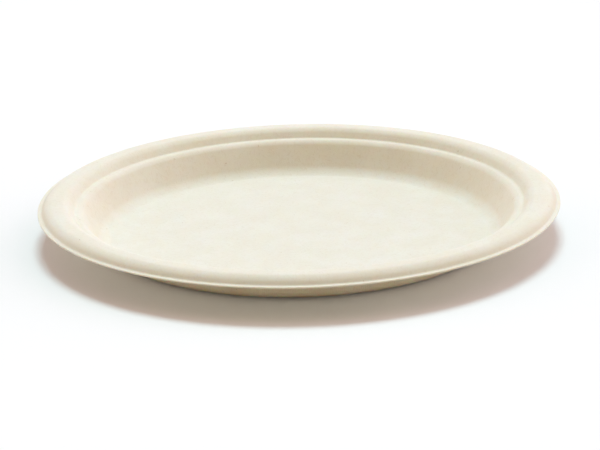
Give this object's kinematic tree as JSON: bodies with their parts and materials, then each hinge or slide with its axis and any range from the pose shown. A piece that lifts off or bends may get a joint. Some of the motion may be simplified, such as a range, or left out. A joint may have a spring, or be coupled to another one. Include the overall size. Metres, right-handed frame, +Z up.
{
  "type": "paper plate",
  "caption": "Round disposable plate pressed from plant fibre: flat floor, sloping side, narrow ledge, rounded raised rim and thin flat brim.",
  "frame": {"origin": "centre of the flat underside, on the surface that the plate stands on", "axes": "+Z up through the centre of the plate, which is round about it; +X and +Y along the table"},
  "size_m": [0.228, 0.228, 0.0185],
  "materials": {
    "pressed_fibre": "matte"
  },
  "bodies": {
    "root": {"plate": "pressed_fibre"}
  },
  "joints": []
}
